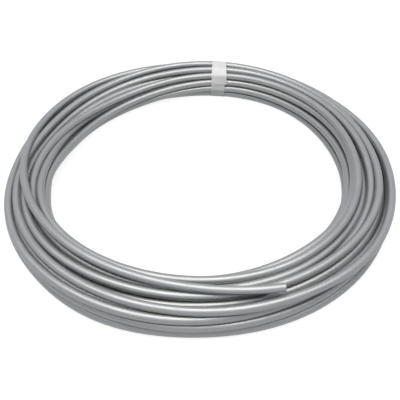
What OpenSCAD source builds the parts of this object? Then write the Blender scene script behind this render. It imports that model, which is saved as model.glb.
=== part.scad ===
// Coil of pneumatic tubing, bound once with white tape, lying flat on the floor.
// Millimetres, +Z up, the coil's axis is Z and the lowest point is z = 0.
// Azimuth is counted anticlockwise from +X, seen from above.

/* [Tubing] */
// Outside diameter of the tubing
tube_d = 8; // [4:0.5:12]
// Bore of the tubing
tube_bore_d = 5.5; // [2:0.25:9]

/* [Coil] */
// Diameter of the eye, the clear space inside the coil
eye_d = 309; // [200:1:400]
// Turns side by side in the widest layer
turns_across = 6; // [4:1:9]
// Layers of turns, each lying in the grooves of the one under it
layers = 4; // [3:1:6]
// Clearance between neighbouring turns
turn_gap = 0.02; // [0.01:0.01:0.5]
// How far the joined core reaches past the line between two outside turns
groove_fill = 1.2; // [0.5:0.1:2]

/* [Free end] */
// Azimuth where the free end starts to leave its own turn
leave_azimuth = 148.5; // [110:0.5:170]
// Radius of the bend that takes it inwards over the other turns
inward_r = 159; // [130:1:180]
// Angle of that bend
inward_angle = 66; // [40:1:90]
// Radius of the flatter bend that follows
outward_r = 241; // [200:1:400]
// Angle of that bend while it still lies level
level_angle = 37; // [10:1:60]
// Angle of that bend while the end springs up
spring_angle = 20; // [10:1:30]
// How steeply the end springs up, in degrees
spring_tilt = 6; // [0:0.5:12]
// Straight length at the cut end
end_length = 28; // [15:1:60]
// Clearance between the free end and the turns it crosses
crossing_gap = 0.1; // [0.05:0.05:0.5]
// How deep the free end's root lies below its own turn's surface
root_depth = 1; // [0.5:0.1:2]
// How far each length of the free end runs on inside the next
joint_lap = 1; // [0.5:0.1:2]
// How much thinner the inside one is there
joint_step = 0.02; // [0.01:0.01:0.05]

/* [Binding tape] */
// Width of the tape
tape_width = 19.5; // [10:0.5:40]
// Thickness of one layer of tape
tape_t = 0.25; // [0.1:0.05:0.5]
// Clearance between the tape and the turns under it
tape_gap = 0.1; // [0.05:0.01:0.3]
// Azimuth of the middle of the tape
tape_azimuth = 80; // [60:1:120]
// How far the outer layer reaches down past the widest upper turn, on each side
tape_lap = 3; // [1:0.5:6]
// How far askew the outer layer lies over the inner one, along the turns
tape_skew = 1.5; // [0:0.5:4]

/* [Hidden] */
$fn = 96;
tube_r = tube_d / 2;
pitch = tube_d + turn_gap;
layer_h = pitch * sin(60);
coil_lift = tape_t + tape_gap;
top_row = layers - 1;
wide_row = top_row - top_row % 2;
crest_z = coil_lift + tube_d + top_row * layer_h;
lane_r = turn(top_row, in_row(top_row) - 1)[0];
lane_z = turn(top_row, 0)[1];
crossing_z = crest_z + crossing_gap + tube_r;
root_tilt = asin((crossing_z - lane_z + root_depth) / (inward_r * (1 - cos(inward_angle))));
mean_r = eye_d / 2 + tube_r + (turns_across - 1) * pitch / 2;
tape_angle = tape_width / mean_r * 180 / PI;
skew_angle = tape_skew / mean_r * 180 / PI;
arc_steps = 6;

// Turns in one layer, and the middle of one turn's section as [radius, height].
function in_row(row) = turns_across - row % 2;
function turn(row, k) = [
    eye_d / 2 + tube_r + (k + (row % 2) / 2) * pitch,
    coil_lift + tube_r + row * layer_h];

// Every turn on the outside of the section, anticlockwise from the lowest inner one.
outside_turns = concat(
    [for (k = [0 : in_row(0) - 1]) turn(0, k)],
    [for (row = [1 : top_row]) turn(row, in_row(row) - 1)],
    [for (k = [in_row(top_row) - 2 : -1 : 0]) turn(top_row, k)],
    [for (row = [top_row - 1 : -1 : 1]) turn(row, 0)]);

// The turns that a tight band bears on, in the same order.
wide_corner = wide_row < top_row ? [turn(wide_row, in_row(wide_row) - 1)] : [];
wide_inner_corner = wide_row < top_row ? [turn(wide_row, 0)] : [];
upper_corners = concat(
    wide_corner,
    [turn(top_row, in_row(top_row) - 1), turn(top_row, 0)],
    wide_inner_corner);
corners = concat([turn(0, 0), turn(0, in_row(0) - 1)], upper_corners);

// Direction square to the side from p to q, pointing out of the section, from 0 to 360.
function outward(p, q) = (atan2(q[1] - p[1], q[0] - p[0]) + 270) % 360;
function forward(a, from) = a < from ? a + 360 : a;

// A tight line at distance s round the corners, as points.
function taut(c, s) = [
    for (i = [0 : len(c) - 1])
        let (
            a = outward(c[(i + len(c) - 1) % len(c)], c[i]),
            b = forward(outward(c[i], c[(i + 1) % len(c)]), a))
        for (k = [0 : arc_steps])
            let (t = a + (b - a) * k / arc_steps)
            c[i] + s * [cos(t), sin(t)]];

// The part of that line over the top, with tape_lap of straight at both ends.
function over_top(c, s) = concat(
    [[c[0][0] + s, c[0][1] - tape_lap]],
    [for (i = [0 : len(c) - 1])
        let (
            a = i == 0 ? 0 : outward(c[i - 1], c[i]),
            b = i == len(c) - 1 ? 180 : forward(outward(c[i], c[i + 1]), a))
        for (k = [0 : arc_steps])
            let (t = a + (b - a) * k / arc_steps)
            c[i] + s * [cos(t), sin(t)]],
    [[c[len(c) - 1][0] - s, c[len(c) - 1][1] - tape_lap]]);
function backwards(v) = [for (i = [len(v) - 1 : -1 : 0]) v[i]];

// The outline of the joined core: the lines between the outside turns, moved out by groove_fill.
function side_normal(i) =
    let (
        n = len(outside_turns),
        a = outward(outside_turns[i % n], outside_turns[(i + 1) % n]))
    [cos(a), sin(a)];
core_outline = [
    for (i = [0 : len(outside_turns) - 1])
        let (
            before = side_normal(i + len(outside_turns) - 1),
            after = side_normal(i))
        outside_turns[i] + groove_fill * (before + after) / (1 + before * after)];

// The wound turns as one solid ring: a joined core, and every turn that shows.
module wound_turns() {
    rotate_extrude() polygon(core_outline);
    for (p = outside_turns)
        rotate_extrude() translate(p) circle(tube_r);
}

// A length of tubing bent to the left: it starts at the origin and heads along +Y.
// It runs on past its end by joint_lap, inside the next length.
module bend(r, angle, tube) {
    translate([-r, 0, 0])
        rotate_extrude(angle = angle + joint_lap / r * 180 / PI)
            translate([r, 0]) circle(tube);
}

// Whatever is drawn in it starts where that bend stops.
module after_bend(r, angle) {
    translate([-r, 0, 0]) rotate([0, 0, angle]) translate([r, 0, 0]) children();
}

// Moves to the top of the climb, where the free end has just reached its crossing height.
module at_crossing() {
    translate([
        (lane_r - inward_r) * cos(leave_azimuth),
        (lane_r - inward_r) * sin(leave_azimuth),
        crossing_z])
        rotate([0, 0, leave_azimuth + inward_angle])
            translate([inward_r, 0, 0]) children();
}

module at_spring() {
    at_crossing() after_bend(outward_r, level_angle) rotate([0, spring_tilt, 0]) children();
}

module at_cut_end() {
    at_spring() after_bend(outward_r, spring_angle) rotate([-90, 0, 0]) children();
}

// The climb over the turns, the level crossing, the springing stretch and the straight end.
// Each length is joint_step thinner or thicker than the next, so that one sits inside the other.
module free_end() {
    at_crossing() {
        rotate([0, -root_tilt, 0])
            after_bend(inward_r, -inward_angle)
                bend(inward_r, inward_angle, tube_r - joint_step);
        bend(outward_r, level_angle, tube_r);
    }
    at_spring() bend(outward_r, spring_angle, tube_r - joint_step);
    at_cut_end() cylinder(h = end_length, r = tube_r);
}

// The coil in one piece: its wound turns, and the free end that lies over them.
module tubing() {
    color([0.62, 0.63, 0.65])
    difference() {
        union() {
            wound_turns();
            free_end();
        }
        at_cut_end() cylinder(h = end_length + 1, d = tube_bore_d);
    }
}

// One band round the whole section, with its outer layer lapped over the top.
module binding_tape() {
    inner = tube_r + tape_gap;
    color([0.93, 0.94, 0.94])
    union() {
        rotate([0, 0, tape_azimuth - tape_angle / 2])
            rotate_extrude(angle = tape_angle)
                difference() {
                    polygon(taut(corners, inner + tape_t));
                    polygon(taut(corners, inner));
                }
        rotate([0, 0, tape_azimuth - tape_angle / 2 - skew_angle])
            rotate_extrude(angle = tape_angle)
                polygon(concat(
                    over_top(upper_corners, inner + 2 * tape_t),
                    backwards(over_top(upper_corners, inner + tape_t / 2))));
    }
}

tubing();
binding_tape();
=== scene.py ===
import math

import bmesh
import bpy
import numpy as np
from mathutils import Matrix, Vector


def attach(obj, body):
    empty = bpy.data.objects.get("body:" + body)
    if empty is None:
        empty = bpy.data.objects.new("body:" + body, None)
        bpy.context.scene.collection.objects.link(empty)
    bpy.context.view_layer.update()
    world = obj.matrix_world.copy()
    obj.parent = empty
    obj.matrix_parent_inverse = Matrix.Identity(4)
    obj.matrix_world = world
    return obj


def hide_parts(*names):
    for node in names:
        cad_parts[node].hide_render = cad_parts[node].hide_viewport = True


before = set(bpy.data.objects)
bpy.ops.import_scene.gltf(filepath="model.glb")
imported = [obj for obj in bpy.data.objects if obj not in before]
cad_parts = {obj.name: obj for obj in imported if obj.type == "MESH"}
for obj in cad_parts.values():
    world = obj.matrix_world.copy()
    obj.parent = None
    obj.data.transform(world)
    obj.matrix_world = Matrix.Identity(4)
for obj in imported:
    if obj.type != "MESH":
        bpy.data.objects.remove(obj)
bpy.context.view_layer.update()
scene = bpy.context.scene

# ---- The view ----
# The coil is looked at from in front and above, with the camera held a degree out of level.
# A standard lens at arm's length, so that the near turns look larger than the far ones.

camera_place = Vector((0, -0.4544, 0.4033))
camera_aim = Vector((0.0017, -0.0345, 0))
out_of_level = math.radians(-1.31)
camera_data = bpy.data.cameras.new("camera")
camera_data.sensor_width = 36
camera_data.lens = 50.08
camera = bpy.data.objects.new("camera", camera_data)
scene.collection.objects.link(camera)
level = (camera_aim - camera_place).to_track_quat("-Z", "Y").to_matrix().to_4x4()
camera.matrix_world = Matrix.Translation(camera_place) @ level @ Matrix.Rotation(out_of_level, 4, "Z")
scene.camera = camera

# ---- The tubing ----
# One 25 m length of plastic air tube, 8 mm outside with a 5.5 mm bore, extruded in one run.
# It is wound by hand into a flat coil of 22 turns, whose free end runs in over the others.
# The turns cross and sink between each other, so each is laid down first and then settled.

tube_diameter = 0.008
bore_diameter = 0.0055
tape_azimuth = 80
tip_azimuth = 292

# Where each turn lies, from the buried inner end to the free end, turn by turn from tape to tape:
# azimuth in degrees, then the radius and the height of the tube's middle in millimetres.
lay = [
    # four turns on the floor, inside the bundle, and one above them
    [(80, 181, 4), (180, 178, 4), (210, 176, 4), (230, 173, 4), (250, 170, 4), (300, 168, 4), (360, 169, 4),
     (400, 175, 4)],
    [(80, 173, 4), (180, 171, 4), (210, 169, 4), (240, 163, 4), (270, 161, 4), (300, 161, 8), (330, 161, 11),
     (360, 162, 11), (390, 168, 10), (420, 171, 10)],
    [(80, 170, 12), (140, 169, 17), (160, 168, 16), (180, 169, 14), (200, 173, 11), (220, 172, 10),
     (250, 166, 11), (290, 164, 12), (320, 168, 12), (360, 170, 11), (400, 174, 11), (420, 177, 11)],
    [(80, 178, 12), (120, 183, 8), (160, 185, 4), (190, 182, 4), (220, 180, 4), (250, 178, 4), (270, 177, 4),
     (300, 176, 4), (360, 176, 4), (420, 185, 4)],
    [(80, 189, 4), (160, 191, 4), (190, 187, 4), (220, 186, 4), (250, 185, 4), (270, 183, 4), (300, 187, 4),
     (380, 190, 4)],
    # the three of the outer wall, from the floor up
    [(80, 196, 4), (120, 199, 4), (180, 199, 4), (200, 197, 4), (215, 196, 4), (230, 199, 4), (240, 201.5, 4),
     (250, 200, 4), (260, 198, 4), (270, 196, 4), (280, 197, 4), (290, 199, 4), (300, 200, 4), (320, 199, 4),
     (340, 198, 4), (400, 198, 6)],
    [(80, 199, 11), (140, 198, 13), (170, 195, 13), (200, 196, 13), (220, 197, 13), (240, 198, 13),
     (250, 198.5, 13), (260, 198.5, 12), (270, 198, 12), (290, 198, 12), (300, 198, 12), (310, 197.5, 12),
     (320, 196, 11), (345, 194, 10), (400, 197, 14)],
    [(80, 198, 19), (140, 197, 20), (160, 191.5, 20), (170, 189, 21), (180, 190, 22), (190, 194, 22),
     (200, 196, 22), (215, 199, 22.5), (240, 198.5, 22.5), (250, 198, 22), (260, 196.5, 20.5),
     (270, 195, 19.5), (280, 195, 18.5), (300, 193.5, 17), (320, 197, 17), (330, 198.5, 18), (345, 197, 18.5),
     (360, 197.5, 19), (380, 197, 20), (400, 195.5, 22), (420, 195, 24)],
    # five that fill the middle, the fourth showing low between two others in front
    [(80, 194, 26), (120, 192, 24), (150, 187, 19), (180, 185, 18), (200, 187, 17), (240, 187, 16),
     (260, 188, 15), (320, 188, 11), (380, 191, 15), (420, 192, 14)],
    [(80, 193, 12), (180, 189, 11), (260, 187, 11), (320, 183, 4), (380, 185, 10)],
    [(80, 185, 13), (120, 185, 16), (200, 182, 11), (280, 179, 11), (320, 184, 12), (360, 185, 14),
     (400, 187, 19), (420, 187, 20)],
    [(80, 188, 21), (120, 185, 24), (180, 184, 18), (240, 183, 19), (260, 182, 19), (280, 183, 20),
     (300, 186, 20), (310, 188.5, 20.5), (320, 190, 21.5), (330, 190, 22), (340, 188.5, 21), (350, 187, 20.5),
     (360, 185.5, 20.5), (380, 183, 22), (400, 180, 24), (420, 180, 25)],
    [(80, 180, 27), (120, 178, 22), (160, 175, 13), (220, 175, 11), (280, 171, 11), (320, 176, 12),
     (380, 178, 13), (420, 178, 18)],
    # the turns of the inner wall
    [(80, 179, 20), (120, 176, 14), (160, 171, 10), (170, 170.5, 9.5), (180, 168.5, 7.5), (190, 168, 4.5),
     (200, 167.5, 4), (210, 165, 4), (220, 161.5, 4), (230, 158, 4), (250, 156, 4), (280, 156, 4),
     (330, 158, 4), (360, 157, 4), (370, 157, 4), (380, 158.5, 4), (390, 161, 4), (400, 163.5, 4),
     (410, 165.5, 4), (430, 165, 4)],
    [(80, 163, 4), (100, 160, 4), (120, 163, 4), (140, 165, 4), (170, 164, 4), (180, 162, 4), (190, 162, 5.5),
     (200, 164.5, 9), (210, 167, 12), (220, 163, 13), (230, 158.5, 15), (240, 156.5, 18), (250, 157, 20.5),
     (260, 158, 22), (270, 158.5, 22.5), (300, 159, 24.5), (320, 162, 26), (360, 162, 26), (400, 162, 24),
     (420, 163, 22)],
    [(80, 165, 20), (90, 159, 19), (100, 156, 17), (120, 152, 14), (140, 151, 12), (160, 149.5, 13.2),
     (170, 151.8, 15), (180, 154.8, 18), (190, 158.5, 20), (200, 162.5, 21), (210, 166, 20), (220, 166, 19.5),
     (230, 165, 18), (240, 164.5, 16), (250, 162, 14.5), (260, 160, 14), (280, 157, 14.5), (300, 157, 16.5),
     (320, 159.5, 19), (340, 158, 19), (380, 157.5, 16), (400, 158.5, 15.5), (420, 161, 14)],
    [(80, 163, 12), (90, 159, 11), (100, 156, 9), (110, 155, 8), (120, 154, 6), (130, 155.5, 4),
     (140, 154.5, 4), (160, 156, 4), (170, 158, 6), (180, 162, 11.5), (190, 164.5, 12.5), (200, 167.5, 14.5),
     (210, 170, 15), (220, 171, 14), (240, 170, 14), (260, 167, 17), (320, 166, 19), (380, 165, 19),
     (420, 170, 17)],
    [(80, 170, 18), (100, 165, 17), (120, 161, 13), (140, 161, 14), (150, 160.5, 19.5), (160, 159.5, 20),
     (170, 158.7, 22), (180, 158.5, 24), (190, 162, 27), (200, 165, 29.5), (210, 166, 29.5), (220, 164, 29),
     (240, 161, 28), (260, 161, 28), (280, 164, 28), (300, 168.5, 29.5), (320, 168, 30.5), (340, 165.5, 32),
     (360, 162.5, 33), (380, 162, 32.5), (400, 164, 31.5), (420, 166, 30)],
    # the turns of the top, with the last one leaving the outside
    [(80, 166, 28), (90, 165, 26), (100, 162, 25), (120, 158, 22), (140, 157, 22.5), (150, 158, 24),
     (160, 160, 25.5), (170, 163.5, 26.5), (180, 167, 27), (190, 170.5, 27), (200, 172.5, 25.5),
     (210, 172, 24.5), (220, 171.5, 24.5), (240, 168.5, 22.5), (260, 169, 23), (270, 170, 24),
     (280, 171.5, 25), (300, 173.5, 25), (310, 174, 25), (320, 173.5, 24.5), (330, 172.5, 24), (340, 172, 22),
     (350, 172, 20.5), (360, 172, 20), (380, 171, 21), (420, 172, 23)],
    [(80, 173, 25), (100, 170, 23), (120, 166, 23), (140, 165, 22.5), (150, 166.5, 20.5), (160, 168, 18),
     (170, 168.5, 18), (180, 171, 17), (200, 174.5, 18), (220, 176, 19), (260, 174, 19), (300, 175, 19),
     (310, 178, 20), (320, 179, 21.5), (330, 179.5, 23), (340, 179, 25), (350, 177.5, 28), (360, 175, 31),
     (370, 173.5, 32), (400, 173.5, 32), (410, 174.5, 32), (420, 174, 33), (430, 173, 33)],
    [(80, 172, 33), (90, 170.3, 32), (100, 169, 31), (110, 169, 29), (120, 171.5, 26), (130, 172, 24),
     (140, 172, 22.5), (150, 174.5, 19.5), (160, 175, 18), (170, 176, 18.5), (180, 177, 21.5), (190, 179, 24),
     (200, 180.5, 25), (210, 182, 26), (220, 181.5, 26.5), (240, 178, 27), (260, 177, 27), (280, 179, 27),
     (300, 181, 27), (310, 183.5, 28), (320, 185.5, 29), (330, 187, 29.5), (340, 187, 29.5),
     (350, 185.5, 29.5), (360, 183, 30.5), (370, 181, 31), (380, 181, 30), (390, 180.5, 30),
     (400, 180.5, 31.5), (410, 181.5, 32), (420, 181, 33)],
    [(80, 180.5, 34.5), (100, 180.5, 34), (110, 180, 33), (120, 178, 31.5), (140, 178, 30),
     (150, 177.5, 28.5), (160, 177.5, 28), (170, 180, 27), (180, 183, 26), (200, 188, 26.5), (220, 190, 26.5),
     (250, 190.5, 26.5), (260, 191.5, 27), (270, 193, 27.5), (280, 195.5, 28), (290, 196.5, 28),
     (300, 197.5, 28), (310, 202.5, 27.5), (320, 203, 26.5), (330, 201, 26), (340, 199, 26), (360, 196.5, 26),
     (380, 192.5, 26.5), (400, 188, 26.5), (420, 186, 27)],
    [(80, 184, 28), (100, 184.5, 30), (110, 186, 31), (120, 187.5, 31.5), (130, 190, 32), (140, 190.5, 31.5),
     (150, 189, 31), (160, 186.5, 31), (170, 184, 32), (180, 180.5, 33), (190, 178, 34), (200, 174.5, 34.5),
     (210, 172.5, 34.5), (220, 170, 34), (230, 169, 34), (240, 168, 33.5), (256, 169, 33), (270, 174.5, 33.5),
     (280, 180.5, 34), (292, 190, 35)],
]

buried_turns = (0, 1, 2, 3, 4, 8, 9, 10, 12)

slices = 160  # places where each turn is worked out
turn_count = len(lay)
ring_count = (turn_count - 1) * slices + round((tip_azimuth - tape_azimuth) / 360 * slices) + 1
azimuths = tape_azimuth + 360 * np.arange(ring_count) / slices
stations = np.array([(azimuth + 360 * turn, radius, height)
                     for turn, places in enumerate(lay) for azimuth, radius, height in places])


def through(stations, azimuths):
    """The radius and height at each azimuth, on a smooth line through the stations."""
    at, place = stations[:, 0], stations[:, 1:]
    slope = np.gradient(place, at, axis=0)
    left = np.clip(np.searchsorted(at, azimuths, side="right") - 1, 0, len(at) - 2)
    width = (at[left + 1] - at[left])[:, None]
    u = (azimuths[:, None] - at[left][:, None]) / width
    return ((1 + 2 * u) * (1 - u) ** 2 * place[left] + u * (1 - u) ** 2 * width * slope[left]
            + u * u * (3 - 2 * u) * place[left + 1] - u * u * (1 - u) * width * slope[left + 1])


def relaxed(line, stiffness):
    """The line with no bend sharper than the tube takes, its two ends running straight on."""
    over = slices // 2
    longer = np.concatenate([2 * line[0] - line[over:0:-1], line, 2 * line[-1] - line[-2:-over - 2:-1]])
    bend = (2 - 2 * np.cos(2 * np.pi * np.fft.rfftfreq(len(longer)))) ** 2
    eased_bends = np.fft.rfft(longer, axis=0) / (1 + stiffness * bend)[:, None]
    return np.fft.irfft(eased_bends, len(longer), axis=0)[over:-over]


def settled(laid, steps):
    """The laid turns after they push each other apart and sink, in millimetres.

    The turns start thin and swell to their full size by halfway, and each is drawn back towards
    where it was laid: firmly where it shows, and loosely where it is buried.
    """
    across = 1000 * tube_diameter
    under_them = 0.35  # the two layers of tape and its slack
    lowest = across / 2 + under_them
    thin, swelling = 0.55, 0.9
    sink, sweeps, push_share = 0.1, 5, 0.42
    loose, firm = 0.03, 0.35
    stiffness = 70
    place = laid.copy()
    grid = np.full((turn_count * slices, 2), np.nan)
    itself = np.eye(turn_count, dtype=bool)[:, :, None]
    hold = np.where(np.isin(np.arange(ring_count) // slices, buried_turns), loose, firm)[:, None]
    for step in range(steps):
        apart = across * min(1.0, thin + swelling * step / steps)
        place[:, 1] -= sink
        for sweep in range(sweeps):
            grid[:ring_count] = place
            rows = grid.reshape(turn_count, slices, 2)
            away = np.nan_to_num(rows[:, None] - rows[None])
            gap = np.hypot(away[..., 0], away[..., 1]) + 1e-6
            push = np.where((gap < apart) & ~itself & (gap > 0.01), push_share * (apart - gap) / gap, 0)
            place += (push[..., None] * away).sum(1).reshape(-1, 2)[:ring_count]
            place[:, 1] = np.maximum(place[:, 1], lowest)
        place += hold * (laid - place)
        place = relaxed(place, stiffness)
        place[:, 1] = np.maximum(place[:, 1], lowest)
    return place


lying = settled(through(stations, azimuths), 250)
turned = np.radians(azimuths)
centres = np.column_stack([lying[:, 0] * np.cos(turned), lying[:, 0] * np.sin(turned),
                           lying[:, 1]]) / 1000


def linear(hex_colour):
    """An sRGB hex colour as linear red, green, blue and alpha."""
    parts = [int(hex_colour[i:i + 2], 16) / 255 for i in (0, 2, 4)]
    return (*[c / 12.92 if c <= 0.04045 else ((c + 0.055) / 1.055) ** 2.4 for c in parts], 1)


def node(tree, kind, links=(), **settings):
    """Adds a node with its settings, and gives each named or numbered input its socket or value."""
    made = tree.nodes.new(kind)
    for name, value in settings.items():
        setattr(made, name, value)
    for name, value in dict(links).items():
        if isinstance(value, bpy.types.NodeSocket):
            tree.links.new(value, made.inputs[name])
        else:
            made.inputs[name].default_value = value
    return made


def new_material(name):
    """An empty node material and its tree, with the shader and the output joined."""
    material = bpy.data.materials.new(name)
    material.use_nodes = True
    tree = material.node_tree
    tree.nodes.clear()
    shader = node(tree, "ShaderNodeBsdfPrincipled")
    node(tree, "ShaderNodeOutputMaterial", {"Surface": shader.outputs["BSDF"]})
    return material, tree, shader


# Extruded polyurethane, silver grey from a metallic pigment: satin, with faint lines that the die
# leaves along it, a little cloudy where the pigment was mixed, and duller in patches where the
# turns rub together. The lines are 1.1 mm apart, five times the real spacing, so that they show.
# The clouds are 33 mm apart and the rubbed patches 17 mm. All three are counted to the metre.
die_lines, clouds, rubbed_patches = 900.0, 30.0, 60.0
along_it = 0.02  # the lines are fifty times as long as they are wide
polyurethane, tree, shader = new_material("extruded polyurethane")
shader.inputs["Metallic"].default_value = 0.6
shader.inputs["IOR"].default_value = 1.5
place = node(tree, "ShaderNodeAttribute", attribute_name="lay").outputs["Vector"]
drawn_out = node(tree, "ShaderNodeMapping", {"Vector": place, "Scale": (1, 1, along_it)})
lines = node(tree, "ShaderNodeTexNoise",
             {"Vector": drawn_out.outputs[0], "Scale": die_lines, "Detail": 0.0})
cloud = node(tree, "ShaderNodeTexNoise", {"Vector": place, "Scale": clouds, "Detail": 2.0})
rubbed = node(tree, "ShaderNodeTexNoise", {"Vector": place, "Scale": rubbed_patches, "Detail": 1.0})
shade = node(tree, "ShaderNodeMath", {0: lines.outputs["Fac"], 1: 0.35, 2: 0.1},
             operation="MULTIPLY_ADD")
shade = node(tree, "ShaderNodeMath", {0: cloud.outputs["Fac"], 1: 0.55, 2: shade.outputs[0]},
             operation="MULTIPLY_ADD")
colour = node(tree, "ShaderNodeMix",
              {"Factor": shade.outputs[0], 6: linear("939596"), 7: linear("A5A6A7")},
              data_type="RGBA")
tree.links.new(colour.outputs[2], shader.inputs["Base Color"])
dull = node(tree, "ShaderNodeMapRange",
            {"Value": rubbed.outputs["Fac"], "From Min": 0.35, "From Max": 0.7,
             "To Min": 0.38, "To Max": 0.46})
tree.links.new(dull.outputs["Result"], shader.inputs["Roughness"])

tube_tree = bpy.data.node_groups.new("tube along a line", "GeometryNodeTree")
for name, kind in (("Line", "NodeSocketGeometry"), ("Outside radius", "NodeSocketFloat"),
                   ("Sides", "NodeSocketInt")):
    tube_tree.interface.new_socket(name, in_out="INPUT", socket_type=kind)
tube_tree.interface.new_socket("Tube", in_out="OUTPUT", socket_type="NodeSocketGeometry")
given = node(tube_tree, "NodeGroupInput").outputs
run = node(tube_tree, "GeometryNodeMeshToCurve", {"Mesh": given["Line"]})
along = node(tube_tree, "GeometryNodeSplineParameter")
kept = node(tube_tree, "GeometryNodeCaptureAttribute", {"Geometry": run.outputs["Curve"]})
kept.capture_items.new("FLOAT", "along")
tube_tree.links.new(along.outputs["Length"], kept.inputs[1])
ring = node(tube_tree, "GeometryNodeCurvePrimitiveCircle",
            {"Resolution": given["Sides"], "Radius": given["Outside radius"]})
ring_place = node(tube_tree, "GeometryNodeInputPosition")
ring_kept = node(tube_tree, "GeometryNodeCaptureAttribute", {"Geometry": ring.outputs["Curve"]})
ring_kept.capture_items.new("VECTOR", "around")
tube_tree.links.new(ring_place.outputs["Position"], ring_kept.inputs[1])
swept = node(tube_tree, "GeometryNodeCurveToMesh",
             {"Curve": kept.outputs["Geometry"], "Profile Curve": ring_kept.outputs["Geometry"]})
split = node(tube_tree, "ShaderNodeSeparateXYZ", {"Vector": ring_kept.outputs[1]})
lay_place = node(tube_tree, "ShaderNodeCombineXYZ",
                 {"X": split.outputs["X"], "Y": split.outputs["Y"], "Z": kept.outputs[1]})
marked = node(tube_tree, "GeometryNodeStoreNamedAttribute",
              {"Geometry": swept.outputs["Mesh"], "Name": "lay", "Value": lay_place.outputs["Vector"]},
              data_type="FLOAT_VECTOR", domain="POINT")
round_shaded = node(tube_tree, "GeometryNodeSetShadeSmooth", {"Geometry": marked.outputs["Geometry"]})
real = node(tube_tree, "GeometryNodeRealizeInstances", {"Geometry": round_shaded.outputs["Geometry"]})
finished = node(tube_tree, "GeometryNodeSetMaterial",
                {"Geometry": real.outputs["Geometry"], "Material": polyurethane})
node(tube_tree, "NodeGroupOutput", {"Tube": finished.outputs["Geometry"]})


def grown(name, mesh, tree, values):
    """The plain object that a node tree makes from a mesh, with the tree's named inputs set."""
    seed = bpy.data.objects.new(name + ".seed", mesh)
    scene.collection.objects.link(seed)
    modifier = seed.modifiers.new("shape", "NODES")
    modifier.node_group = tree
    for item in tree.interface.items_tree:
        if item.in_out == "INPUT" and item.name in values:
            modifier[item.identifier] = values[item.name]
    whole = bpy.data.meshes.new_from_object(seed.evaluated_get(bpy.context.evaluated_depsgraph_get()))
    bpy.data.objects.remove(seed)
    made = bpy.data.objects.new(name, whole)
    scene.collection.objects.link(made)
    return made


line = bpy.data.meshes.new("tube line")
line.from_pydata([tuple(c) for c in centres], [(i, i + 1) for i in range(ring_count - 1)], [])
sides = 24
tube = grown("air_tube", line, tube_tree, {"Outside radius": tube_diameter / 2, "Sides": sides})

# The two ends are cut square. The free one shows its wall, with crisp edges, and its bore goes six
# rings in, which is past what can be seen; the inner one is buried, so it is only closed.
bore_rings = 6
shape = bmesh.new()
shape.from_mesh(tube.data)
shape.faces.new(shape.verts[:sides]).smooth = True
rim = shape.verts[-sides:]
for back in range(bore_rings + 1):
    middle = sum((v.co for v in rim), Vector()) / sides
    narrowing = 1 if back else bore_diameter / tube_diameter
    inward = Vector(centres[-1 - back])
    inner = [shape.verts.new(inward + (v.co - middle) * narrowing, v) for v in rim]
    for side in range(sides):
        face = shape.faces.new((rim[side - 1], rim[side], inner[side], inner[side - 1]))
        face.smooth = back > 0
        for verts in (rim, inner):
            shape.edges.get((verts[side - 1], verts[side])).smooth = False
    rim = inner
shape.faces.new(rim).smooth = True
bmesh.ops.recalc_face_normals(shape, faces=shape.faces)
shape.to_mesh(tube.data)
shape.free()

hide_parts("tubing")
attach(tube, "root")

# ---- The binding tape ----
# White plastic film tape, 17 mm wide and 0.12 mm thick, pulled tight round all the turns from
# below, once round and on over the top again to its cut end, low on the inner side.
# It goes straight from turn to turn, so it makes flats, and its second layer strays sideways.

tape_width = 0.017
tape_thickness = 0.00012
rounds = 1.73
steps_round = 130
columns = 9
bundle_radius = 0.178
start_radius = 0.18
slack = 0.0001
inner_stray = 0.0012
outer_stray = 0.0038
cut_askew = 0.012


def wrapped(azimuth, clearance):
    """The tight line round all the turns at one azimuth, in metres out and up, from under the middle."""
    at = (azimuth - tape_azimuth) / 360 * slices
    around = np.linspace(0, 2 * np.pi, 48, endpoint=False)
    circle = (1000 * (tube_diameter / 2 + clearance)) * np.column_stack([np.cos(around), np.sin(around)])
    rows = np.arange(0 if at >= 0 else 1, turn_count) * slices + at
    low = np.floor(rows).astype(int)
    part = (rows - low)[:, None]
    spots = lying[low] * (1 - part) + lying[np.minimum(low + 1, ring_count - 1)] * part
    points = (spots[:, None] + circle[None]).reshape(-1, 2)
    points = points[np.lexsort((points[:, 1], points[:, 0]))]
    hull = []
    for order in (points, points[::-1]):
        chain = []
        for p in order:
            while len(chain) > 1 and np.cross(chain[-1] - chain[-2], p - chain[-2]) <= 0:
                chain.pop()
            chain.append(p)
        hull += chain[:-1]
    hull = np.array(hull + hull[:1]) / 1000
    run = np.concatenate([[0], np.cumsum(np.linalg.norm(np.diff(hull, axis=0), axis=1))])
    under = hull[:-1, 1] < 0.002
    flat = int(np.argmax(np.diff(run) * under))
    start = run[flat] + start_radius - hull[flat, 0]
    even = (start + np.linspace(0, run[-1], steps_round, endpoint=False)) % run[-1]
    return np.column_stack([np.interp(even, run, hull[:, 0]), np.interp(even, run, hull[:, 1])])


def eased(value, first, last):
    """0 before first, 1 after last, and smooth between them."""
    u = min(max((value - first) / (last - first), 0), 1)
    return u * u * (3 - 2 * u)


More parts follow.
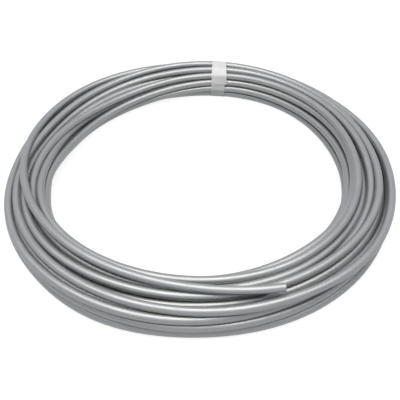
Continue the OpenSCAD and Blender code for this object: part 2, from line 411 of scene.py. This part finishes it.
# The strip starts under the middle of the bundle. Its way is counted in rounds: it climbs onto
# itself as it ends the first, and strays sideways a little as it comes over the top and down the
# inner side, both times. Its two edges are not quite of a length, so the cut is askew.
tape_steps = int(rounds * steps_round)
facing_out = math.radians(tape_azimuth)
tape_verts = []
for column in range(columns):
    across = (column / (columns - 1) - 0.5) * tape_width
    angle = tape_azimuth + math.degrees(across / bundle_radius)
    layers = (wrapped(angle, slack), wrapped(angle, slack + 1.02 * tape_thickness))
    for step in range(tape_steps):
        at = step / steps_round * (1 + cut_askew * column / columns)
        place = int(at * steps_round) % steps_round
        part = at * steps_round % 1
        lower, upper = [(1 - part) * layer[place] + part * layer[(place + 1) % steps_round]
                        for layer in layers]
        climb = eased(at, 0.97, 1.0)
        out, up = lower * (1 - climb) + upper * climb
        strayed = (across - inner_stray * eased(at, 0.45, 0.7) * (1 - eased(at, 0.85, 1.0))
                   - outer_stray * eased(at, 1.45, 1.72))
        out = math.sqrt(out * out - strayed * strayed)
        tape_verts.append((out * math.cos(facing_out) - strayed * math.sin(facing_out),
                           out * math.sin(facing_out) + strayed * math.cos(facing_out), up))
tape_faces = [(start, start + tape_steps, start + tape_steps + 1, start + 1)
              for column in range(columns - 1)
              for start in range(column * tape_steps, (column + 1) * tape_steps - 1)]
tape_mesh = bpy.data.meshes.new("film_tape")
tape_mesh.from_pydata(tape_verts, [], tape_faces)
tape = bpy.data.objects.new("film_tape", tape_mesh)
scene.collection.objects.link(tape)
for face in tape_mesh.polygons:
    face.use_smooth = True
faces_at_edge = np.bincount([corner.edge_index for corner in tape_mesh.loops])
for edge in tape_mesh.edges:
    edge.use_edge_sharp = bool(faces_at_edge[edge.index] == 1)
wall = tape.modifiers.new("thickness", "SOLIDIFY")
wall.thickness = tape_thickness
wall.offset = 1


# Polypropylene film tape, white: smooth and satin, a little uneven where the film was stretched
# over the turns. The uneven places are 5.6 mm apart, counted to the metre.
uneven_places = 180.0
film, tree, shader = new_material("polypropylene film tape")
shader.inputs["IOR"].default_value = 1.49
place = node(tree, "ShaderNodeTexCoord").outputs["Object"]
stretched = node(tree, "ShaderNodeTexNoise", {"Vector": place, "Scale": uneven_places, "Detail": 3.0})
colour = node(tree, "ShaderNodeMix",
              {"Factor": stretched.outputs["Fac"], 6: linear("DDE1E5"), 7: linear("E6E9EC")},
              data_type="RGBA")
tree.links.new(colour.outputs[2], shader.inputs["Base Color"])
dull = node(tree, "ShaderNodeMapRange",
            {"Value": stretched.outputs["Fac"], "To Min": 0.36, "To Max": 0.5})
tree.links.new(dull.outputs["Result"], shader.inputs["Roughness"])
relief = node(tree, "ShaderNodeBump",
              {"Height": stretched.outputs["Fac"], "Strength": 0.3, "Distance": 0.0001})
tree.links.new(relief.outputs["Normal"], shader.inputs["Normal"])
tape_mesh.materials.append(film)
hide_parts("binding_tape")
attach(tape, "root")

# ---- The floor and the light ----
# A plain white floor and a white room, slightly cool, with one wide soft lamp overhead and a weak
# one in front. The light comes from above, so the lower sides of the turns and their gaps are dark.


floor_mesh = bpy.data.meshes.new("floor")
floor_mesh.from_pydata([(-4, -4, 0), (4, -4, 0), (4, 4, 0), (-4, 4, 0)], [], [(0, 1, 2, 3)])
floor = bpy.data.objects.new("floor", floor_mesh)
scene.collection.objects.link(floor)


def looked_at(tree, rays):
    """1 where a thing is seen, straight or in a gloss, and 0 where it only lights other things."""
    seen = node(tree, "ShaderNodeMath", {0: rays["Is Camera Ray"], 1: rays["Is Glossy Ray"]},
                operation="MAXIMUM")
    seen = node(tree, "ShaderNodeMath", {0: seen.outputs[0], 1: rays["Is Transmission Ray"]},
                operation="MAXIMUM")
    return seen.outputs[0]


# Seamless paper: dull, and brought up to white where it is looked at, so that the shadow stays soft.
paper, tree, shader = new_material("seamless paper")
shader.inputs["Base Color"].default_value = linear("868686")
shader.inputs["Roughness"].default_value = 0.9
shader.inputs["Emission Color"].default_value = (1, 1, 1, 1)
seen = looked_at(tree, node(tree, "ShaderNodeLightPath").outputs)
lift = node(tree, "ShaderNodeMath", {0: seen, 1: 0.85}, operation="MULTIPLY")
tree.links.new(lift.outputs[0], shader.inputs["Emission Strength"])
floor_mesh.materials.append(paper)

# The room is white where it is looked at, and gives the coil only a little cool light.
world = bpy.data.worlds.new("white room")
scene.world = world
world.use_nodes = True
tree = world.node_tree
tree.nodes.clear()
rays = node(tree, "ShaderNodeLightPath").outputs
strength = node(tree, "ShaderNodeMapRange",
                {"Value": looked_at(tree, rays), "To Min": 0.07, "To Max": 1.0})
cool = node(tree, "ShaderNodeMix",
            {"Factor": rays["Is Camera Ray"], 6: linear("EAF1FA"), 7: linear("FFFFFF")},
            data_type="RGBA")
sky = node(tree, "ShaderNodeBackground",
           {"Color": cool.outputs[2], "Strength": strength.outputs["Result"]})
node(tree, "ShaderNodeOutputWorld", {"Surface": sky.outputs["Background"]})

lamp_data = bpy.data.lights.new("overhead lamp", "AREA")
lamp_data.shape = "ELLIPSE"
lamp_data.size = 1.6
lamp_data.size_y = 0.85
lamp_data.energy = 15.5
lamp_data.color = (1, 0.96, 0.9)
lamp = bpy.data.objects.new("overhead lamp", lamp_data)
scene.collection.objects.link(lamp)
lamp.location = (-0.06, -0.17, 1.1)

front_data = bpy.data.lights.new("front lamp", "AREA")
front_data.shape = "DISK"
front_data.size = 1.2
front_data.energy = 1
front = bpy.data.objects.new("front lamp", front_data)
scene.collection.objects.link(front)
front.location = (-0.2, -1.3, 1.25)
front.rotation_euler = (camera_aim - front.location).to_track_quat("-Z", "Y").to_euler()

scene.view_settings.view_transform = "Standard"
